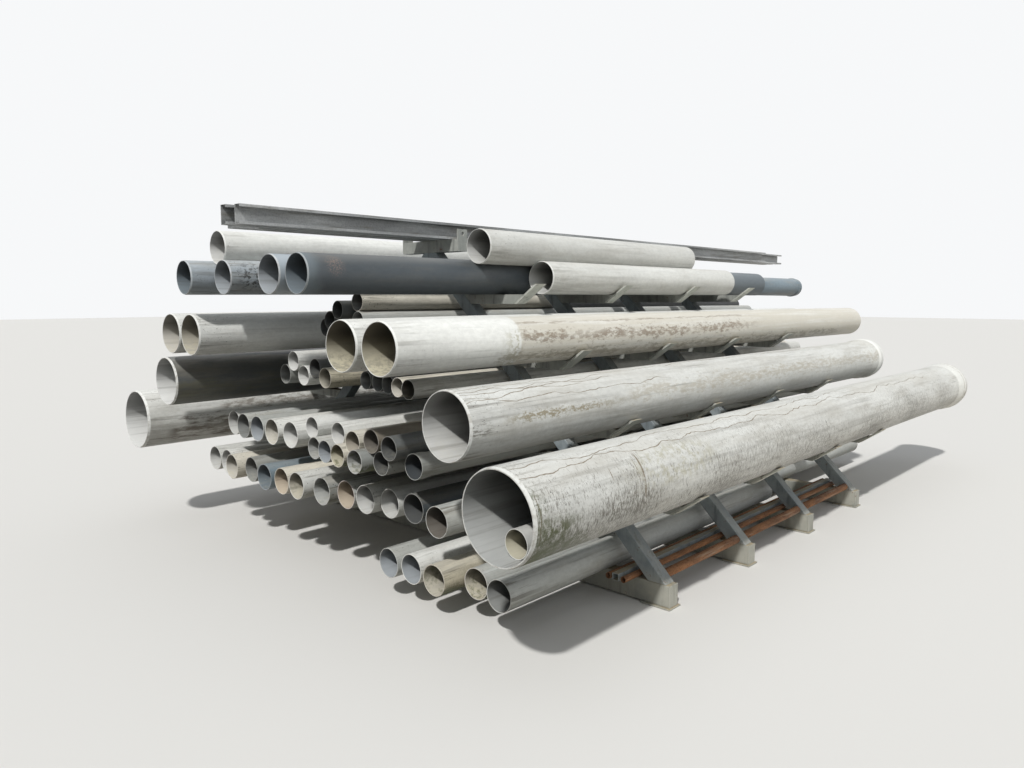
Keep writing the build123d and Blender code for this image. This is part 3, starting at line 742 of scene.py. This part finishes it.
# The pipes of each node, from the near side to the far side and from the bottom up
looks = {
    "near_pipe_400": [
        Look("white grey", grime=0.8, moss=0.8, drips=1.1, skin="ringed", silted=0.0, lining="pale grey")
    ],
    "nested_pipe_125": [Look("white grey", grime=0.4, silted=0.0, lining="moss cream")],
    "near_pipe_315": [Look("white grey", grime=0.8, drips=0.1, skin="cracked")],
    "near_pipe_250_outer": [Look("white", grime=0.35, skin="lichened", silted=0.9, lining="olive")],
    "near_pipe_250_inner": [Look("white", silted=0.9, lining="olive")],
    "far_pipe_400": [Look("white", grime=0.8, drips=0.08, skin="stained", silted=0.0)],
    # The far 315 pipe's dark grey outside is painted shade; its bore keeps the pale plastic's colour
    "far_pipe_315": [Look("dark grey", grime=0.9, moss=0.3, skin="painted_sky_top", silted=0.0, lining="white")],
    "far_pipe_250_inner": [Look("white", silted=0.5, lining="dirty cream")],
    "far_pipe_250_outer": [Look("white", silted=0.3, lining="cream")],
    "top_near_pipe_inner": [
        Look("blue grey", grime=0.6, skin="pale_ended", silted=0.0, lining="light blue grey")
    ],
    "top_near_pipe_middle": [Look("slate", grime=0.25, skin="slate", silted=0.0, lining="blue grey")],
    "top_near_pipe_outer": [Look("white grey")],
    "top_near_pipe_upper": [Look("white grey")],
    "nested_pipe_160": [Look("blue grey", grime=0.8)],
    "top_far_pipe_inner": [Look("light blue grey", grime=0.9, skin="smutty", silted=0.0)],
    "top_far_pipe_outer": [Look("light blue grey", grime=0.6, silted=0.0, lining="blue grey")],
    "top_far_pipe_upper": [Look("white", grime=0.4)],
    "base_row_pipes_grey": [
        Look("pale grey", grime=0.9, drips=0.1, silted=0.0, lining="grey"),
        Look("pale grey", grime=0.6, moss=0.9, silted=0.6, lining="dirty cream"),
        Look("white", grime=0.4, silted=0.0, lining="light blue grey"),
        Look("pale grey", silted=0.0, lining="light blue grey"),
    ],
    "base_row_pipes_cream": [Look("dirty cream", grime=1.0, moss=1.0, drips=0.5, silted=0.2)],
    "lower_row_pipes_grey": [
        Look("pale grey", grime=1.0, silted=0.0, lining="brown grey"),
        Look("white grey"),
        Look("white grey", grime=0.6),
        Look("grey", grime=1.0, moss=0.4, silted=0.2, lining="pale grey"),
        Look("white grey", grime=0.8, moss=0.4, silted=0.4, lining="dirty cream"),
    ],
    "lower_row_pipes_cream": [
        Look("pale grey", grime=0.8, moss=0.5, silted=0.0, lining="peach"),
        Look("cream", grime=0.8, silted=0.2, lining="peach"),
        Look("cream", grime=0.7, silted=0.4),
        Look("white", grime=0.6),
        Look("white grey"),
    ],
    "lower_row_pipes_blue": [
        Look("slate", silted=0.0, lining="dark grey"),
        Look("blue grey"),
        Look("grey", grime=0.9, silted=0.2),
    ],
    "middle_row_pipes_grey": [
        Look("grey", grime=0.6, silted=0.0, lining="slate"),
        Look("grey", grime=0.7, lining="dark grey"),
        Look("grey", grime=1.0, moss=0.9, silted=0.3, lining="pale grey"),
        Look("pale grey", grime=1.0, moss=0.3, silted=0.2),
        Look("white grey", grime=0.6),
    ],
    "middle_row_pipes_cream": [
        Look("cream", grime=0.8, moss=0.9, silted=0.8, lining="moss cream"),
        Look("beige", grime=0.6),
        Look("white", silted=0.2),
        Look("white", grime=0.7, moss=0.2, silted=0.3, lining="cream"),
    ],
    "middle_row_pipes_blue": [
        Look("pale grey", silted=0.0, lining="light blue grey"),
        Look("pale grey", silted=0.0, lining="light blue grey"),
        Look("pale grey", grime=0.9, silted=0.0, lining="grey"),
    ],
    "middle_upper_pipes_grey": [Look("dark grey", grime=0.6), Look("white", grime=0.3)],
    "middle_upper_pipes_cream": [
        Look("brown grey", grime=0.8),
        Look("cream", grime=0.8, silted=0.2, lining="beige"),
        Look("white", grime=0.4),
    ],
    "upper_row_pipes_grey": [
        Look("dark grey", silted=0.0, lining="grey"),
        Look("dark grey", grime=0.6, silted=0.0, lining="grey"),
        Look("dark grey", silted=0.0, lining="grey"),
        Look("grey"),
    ],
    "upper_row_pipes_cream": [
        Look("white grey", grime=1.0, silted=0.3, lining="brown grey"),
        Look("cream", grime=0.7, silted=0.2),
        Look("dirty cream", grime=0.9, moss=0.2, silted=0.2),
        Look("white"),
    ],
    "upper_heap_pipes": [Look("dark grey"), Look("white")],
    "crown_row_pipes": [
        Look("dark grey", grime=0.6),
        Look("dark grey", grime=0.6),
        Look("black grey", grime=0.6),
        Look("dark grey"),
    ],
    "crown_heap_pipes": [
        Look("pale grey", grime=0.8),
        Look("cream", grime=1.1, lining="grey"),
        Look("dark grey"),
        Look("dark grey"),
    ],
}

# Pipes and round bars

# A turned piece as read from its CAD node: ends, axis and (place, outer radius, inner radius) rings
Turned = namedtuple("Turned", "start end across height rings")


def loose_parts(bm):
    """The vertices of each piece in a mesh."""
    waiting = set(bm.verts)
    while waiting:
        seed = waiting.pop()
        part = [seed]
        for vert in part:
            for edge in vert.link_edges:
                other = edge.other_vert(vert)
                if other in waiting:
                    waiting.remove(other)
                    part.append(other)
        yield part


def turned_pieces(node):
    """Reads the pipes or round bars of a CAD node, from the near side to the far one."""
    bm = bmesh.new()
    bm.from_mesh(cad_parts[node].data)
    bmesh.ops.remove_doubles(bm, verts=bm.verts, dist=merge_distance)
    found = []
    for part in loose_parts(bm):
        start = min(vert.co.x for vert in part)
        mouth = [vert.co for vert in part if vert.co.x < start + mouth_depth]
        across = sum(point.y for point in mouth) / len(mouth)
        height = sum(point.z for point in mouth) / len(mouth)
        radii = {}
        for vert in part:
            radius = math.hypot(vert.co.y - across, vert.co.z - height)
            radii.setdefault(round(vert.co.x, 4), []).append(radius)
        rings = [(place, max(sizes), min(sizes)) for place, sizes in sorted(radii.items())]
        found.append(Turned(rings[0][0], rings[-1][0], across, height, rings))
    bm.free()
    return sorted(found, key=lambda piece: (round(piece.across, 3), piece.height))


def segments_for(radius):
    return next(count for limit, count in segments_by_radius if radius <= limit)


def with_stations(points):
    """Adds points along the long straight runs of a profile."""
    result = [points[0]]
    for (start, first), (end, second) in zip(points, points[1:]):
        count = max(1, round(abs(end - start) / station_spacing))
        for step in range(1, count + 1):
            share = step / count
            result.append((start + (end - start) * share, first + (second - first) * share))
    return result


def wall_profile(piece):
    """The closed outline of a pipe's wall, its four rim corners chamfered."""
    outside = [(place, outer) for place, outer, inner in piece.rings]
    inside = [(place, inner) for place, outer, inner in piece.rings]
    mouth, end = piece.start, piece.end
    if outside[-1][1] - outside[0][1] > least_socket_swell:
        bead = [(end - away, rise) for away, rise in socket_bead]
        outside[-1:-1] = [(place, outside[-1][1] + rise) for place, rise in bead]
        inside[-1:-1] = [(place, inside[-1][1] + rise) for place, rise in bead]
    taper = rim_chamfer
    slope = 1.0
    if outside[0][1] > least_tapered_radius and inside[0][1] < outside[0][1]:
        taper = taper_share * (outside[0][1] - inside[0][1])
        slope = taper_slope
    outside[0] = (mouth + taper * slope, outside[0][1])
    outside[-1] = (end - rim_chamfer, outside[-1][1])
    inside[0] = (mouth + rim_chamfer, inside[0][1])
    inside[-1] = (end - rim_chamfer, inside[-1][1])
    front = [(mouth, inside[0][1] + rim_chamfer), (mouth, outside[0][1] - taper)]
    back = [(end, outside[-1][1] - rim_chamfer), (end, inside[-1][1] + rim_chamfer)]
    return front + with_stations(outside) + back + with_stations(inside[::-1])


def turn(bm, profile, steps):
    """Spins a closed outline about the X axis and returns the new vertices."""
    first = len(bm.verts)
    corners = [bm.verts.new((place, 0, radius)) for place, radius in profile]
    sides = [bm.edges.new(pair) for pair in zip(corners, corners[1:] + corners[:1])]
    bmesh.ops.spin(
        bm,
        geom=corners + sides,
        cent=(0, 0, 0),
        axis=(1, 0, 0),
        angle=math.tau,
        steps=steps,
        use_merge=True,
    )
    bm.verts.ensure_lookup_table()
    return bm.verts[first:]


def add_layers(bm):
    """The attributes that the pipes' finishes read, by name."""
    names = ("place", "depth", "shift", "wear", "inside")
    layers = {name: bm.verts.layers.float_vector.new(name) for name in names}
    for name in ("tone", "lining"):
        layers[name] = bm.verts.layers.float_color.new(name)
    return layers


def mark_zones(bm, axes):
    """Gives each face of the turned walls its finish: outside, inside or that of the sawn ends."""
    bmesh.ops.recalc_face_normals(bm, faces=bm.faces)
    for face in bm.faces:
        centre = face.calc_center_median()
        start, across, height = axes[face.verts[0]]
        outward = (centre.y - across) * face.normal.y + (centre.z - height) * face.normal.z
        lean = abs(face.normal.x)
        tapered = outward > 0 and centre.x - start < taper_reach and lean > taper_lean
        if lean > end_lean or tapered:
            face.material_index = cut_slot
        else:
            face.material_index = outside_slot if outward > 0 else inside_slot
        face.smooth = face.material_index != cut_slot
    for edge in bm.edges:
        edge.smooth = len({face.material_index for face in edge.link_faces}) == 1


def weather(vert, piece, drift, slant_across, slant_up):
    """Moves a vertex by the pipe's sag, its drift and the slant of its sawn mouth."""
    overhang = max(0.0, first_support - vert.co.x, vert.co.x - last_support)
    distance = vert.co.x - piece.start
    if distance < saw_slant_reach:
        slant = slant_across * vert.co.y + slant_up * vert.co.z
        vert.co.x += slant * (1 - distance / saw_slant_reach)
    vert.co.y += drift * overhang
    vert.co.z -= sag_per_square_metre * overhang**2


def lining_colour(plastic, brightness):
    """The colour of a bore: greyer than the plastic, because light bounces in it many times."""
    grey = sum(plastic[:3]) / 3
    return [brightness * (level + (grey - level) * bore_greyness) for level in plastic[:3]] + [1.0]


def build_pipes(node, node_looks):
    """One piece for a node of pipes, each pipe turned from the places that the node gives."""
    bm = bmesh.new()
    layers = add_layers(bm)
    axes = {}
    for number, (piece, look) in enumerate(zip(turned_pieces(node), node_looks)):
        rng = random.Random(node + str(number))
        shift = [rng.uniform(-pattern_shift, pattern_shift) for _ in "xyz"]
        drift = rng.uniform(-mouth_drift, mouth_drift)
        slant_across = rng.uniform(-saw_slant, saw_slant)
        slant_up = rng.uniform(-saw_slant, saw_slant)
        brightness = rng.uniform(least_brightness, most_brightness)
        tone = [level * brightness for level in plastics[look.plastic][:3]] + [1.0]
        lining = lining_colour(plastics[look.lining or look.plastic], brightness)
        inner_moss = look.moss * min(1.0, moss_for_silt * look.silted)
        outer = piece.rings[0][1]
        for vert in turn(bm, wall_profile(piece), segments_for(outer)):
            radius = math.hypot(vert.co.y, vert.co.z)
            along = vert.co.x - piece.start
            vert[layers["place"]] = (along, vert.co.z / radius, vert.co.y / radius)
            vert[layers["shift"]] = shift
            vert[layers["wear"]] = (look.grime, look.moss, look.drips)
            vert[layers["inside"]] = (look.grime, inner_moss, look.silted)
            vert[layers["depth"]] = (along / outer, 0.0, 0.0)
            vert[layers["tone"]] = tone
            vert[layers["lining"]] = lining
            weather(vert, piece, drift, slant_across, slant_up)
            vert.co.y += piece.across
            vert.co.z += piece.height
            axes[vert] = (piece.start, piece.across, piece.height)
    mark_zones(bm, axes)
    mesh = bpy.data.meshes.new(node + "_weathered")
    bm.to_mesh(mesh)
    bm.free()
    for finish in (skins[node_looks[0].skin], bore_finish, cut_finish):
        mesh.materials.append(finish)
    return place_piece(mesh, node)


def place_piece(mesh, node):
    """Shows a finished mesh in a CAD node's place."""
    piece = bpy.data.objects.new(mesh.name, mesh)
    bpy.context.scene.collection.objects.link(piece)
    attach(piece, "root")
    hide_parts(node)
    return piece


for node_name, node_looks in looks.items():
    build_pipes(node_name, node_looks)


def build_round_steel(node):
    """Tie tubes and round bars, turned from the places that the node gives."""
    bm = bmesh.new()
    for piece in turned_pieces(node):
        for vert in turn(bm, wall_profile(piece), segments_for(piece.rings[0][1])):
            vert.co.y += piece.across
            vert.co.z += piece.height
    bmesh.ops.recalc_face_normals(bm, faces=bm.faces)
    for face in bm.faces:
        face.smooth = abs(face.normal.x) < end_lean
    mesh = bpy.data.meshes.new(node + "_rusted")
    bm.to_mesh(mesh)
    bm.free()
    mesh.materials.append(rust_finish)
    return place_piece(mesh, node)


build_round_steel("tie_tubes")
build_round_steel("round_bars")

# Steel that keeps its CAD shape


def soften(node, width, segments):
    """Rounds the long corners of a CAD node's tubes or plates."""
    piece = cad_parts[node]
    weld = piece.modifiers.new("weld", "WELD")
    weld.merge_threshold = merge_distance
    bevel = piece.modifiers.new("rounded corners", "BEVEL")
    bevel.width = width
    bevel.segments = segments
    bevel.limit_method = "ANGLE"
    bevel.angle_limit = math.radians(sharp_corner_angle)


def refinish(node, finish):
    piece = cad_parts[node]
    piece.data.materials.clear()
    piece.data.materials.append(finish)


levels = ("low", "second", "third", "top")

# Nodes, the radius of their rounded corners, the segments of those corners, and the finish
kept_steel = [
    (["base_beams", "top_beams"], 0.006, 3, rack_finish),
    (["near_legs", "far_legs"], 0.006, 3, leg_finish),
    ([level + "_arms" for level in levels], 0.004, 3, rack_finish),
    ([level + "_shelf_beams" for level in levels], 0.004, 3, rack_finish),
    ([level + "_arm_stops" for level in levels], 0.0012, 1, stop_finish),
    (["base_end_plates", "foot_plates", "top_beam_lugs"], 0.0012, 1, rack_finish),
    (["square_bar"], 0.003, 3, leg_finish),
    (["near_channel", "second_channel", "third_channel", "far_channel"], 0.0009, 1, zinc_finish),
]
for nodes, radius, segments, finish in kept_steel:
    for node_name in nodes:
        soften(node_name, radius, segments)
        refinish(node_name, finish)

# Floor, light and camera


def seen_directly(tree):
    """1 where the camera sees a surface, also in a reflection or through a clear part."""
    path = tree.nodes.new("ShaderNodeLightPath")
    seen = path.outputs["Is Camera Ray"]
    for name in ("Is Glossy Ray", "Is Transmission Ray"):
        either = tree.nodes.new("ShaderNodeMath")
        either.operation = "MAXIMUM"
        tree.links.new(seen, either.inputs[0])
        tree.links.new(path.outputs[name], either.inputs[1])
        seen = either.outputs[0]
    return seen


def build_floor():
    """A plain pale floor, whose unseen bounce is dark in front of the stack and pale beside it."""
    bm = bmesh.new()
    bmesh.ops.create_grid(bm, x_segments=1, y_segments=1, size=floor_half_width)
    for vert in bm.verts:
        vert.co.z = -floor_drop
    mesh = bpy.data.meshes.new("floor")
    bm.to_mesh(mesh)
    bm.free()
    finish = Finish("pale_floor", 0.9)
    beside = finish.band(finish.split(finish.object_point())[0], *darker_floor_edge)
    unseen = finish.mix(beside, front_bounce, side_bounce)
    finish.paint(finish.mix(seen_directly(finish.tree), unseen, seen_floor))
    mesh.materials.append(finish.material)
    floor = bpy.data.objects.new("floor", mesh)
    bpy.context.scene.collection.objects.link(floor)
    floor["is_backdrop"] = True


def light_scene():
    """Sun from the front and above, and a sky that is brightest overhead and on the near side."""
    sun = bpy.data.lights.new("main_light", "SUN")
    sun.energy = sun_strength
    sun.angle = math.radians(sun_spread)
    sun.color = sun_colour
    lamp = bpy.data.objects.new("main_light", sun)
    lamp.rotation_mode = "QUATERNION"
    lamp.rotation_quaternion = Vector(sun_direction).to_track_quat("-Z", "Y")
    bpy.context.scene.collection.objects.link(lamp)

    world = bpy.data.worlds.new("pale_sky")
    bpy.context.scene.world = world
    world.use_nodes = True
    tree = world.node_tree
    tree.nodes.clear()
    output = tree.nodes.new("ShaderNodeOutputWorld")
    shown = tree.nodes.new("ShaderNodeBackground")
    shown.inputs["Color"].default_value = seen_sky_colour
    lighting = tree.nodes.new("ShaderNodeBackground")
    lighting.inputs["Color"].default_value = sky_light_colour
    parts = tree.nodes.new("ShaderNodeSeparateXYZ")
    tree.links.new(tree.nodes.new("ShaderNodeTexCoord").outputs["Generated"], parts.inputs[0])
    strength = horizon_light
    for axis, facing, light in (("Z", 1, zenith_light), ("Y", -1, near_side_light)):
        share = tree.nodes.new("ShaderNodeMapRange")
        share.inputs["From Max"].default_value = facing
        tree.links.new(parts.outputs[axis], share.inputs["Value"])
        square = tree.nodes.new("ShaderNodeMath")
        square.operation = "POWER"
        tree.links.new(share.outputs[0], square.inputs[0])
        square.inputs[1].default_value = 2.0
        total = tree.nodes.new("ShaderNodeMath")
        total.operation = "MULTIPLY_ADD"
        tree.links.new(square.outputs[0], total.inputs[0])
        total.inputs[1].default_value = light
        feed(tree, total.inputs[2], strength)
        strength = total.outputs[0]
    feed(tree, lighting.inputs["Strength"], strength)
    choice = tree.nodes.new("ShaderNodeMixShader")
    tree.links.new(seen_directly(tree), choice.inputs[0])
    tree.links.new(lighting.outputs[0], choice.inputs[1])
    tree.links.new(shown.outputs[0], choice.inputs[2])
    tree.links.new(choice.outputs[0], output.inputs["Surface"])


def set_camera():
    camera = bpy.data.cameras.new("camera")
    camera.lens = camera_lens
    camera.sensor_width = camera_sensor
    holder = bpy.data.objects.new("camera", camera)
    holder.location = camera_place
    holder.rotation_euler = (math.radians(camera_tilt), 0, math.radians(camera_turn))
    bpy.context.scene.collection.objects.link(holder)
    bpy.context.scene.camera = holder


build_floor()
light_scene()
set_camera()
bpy.context.scene.view_settings.view_transform = "Standard"

boxes = {"cad": cad_box, "visual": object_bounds()}
{name: [list(corner) for corner in box] for name, box in boxes.items()}
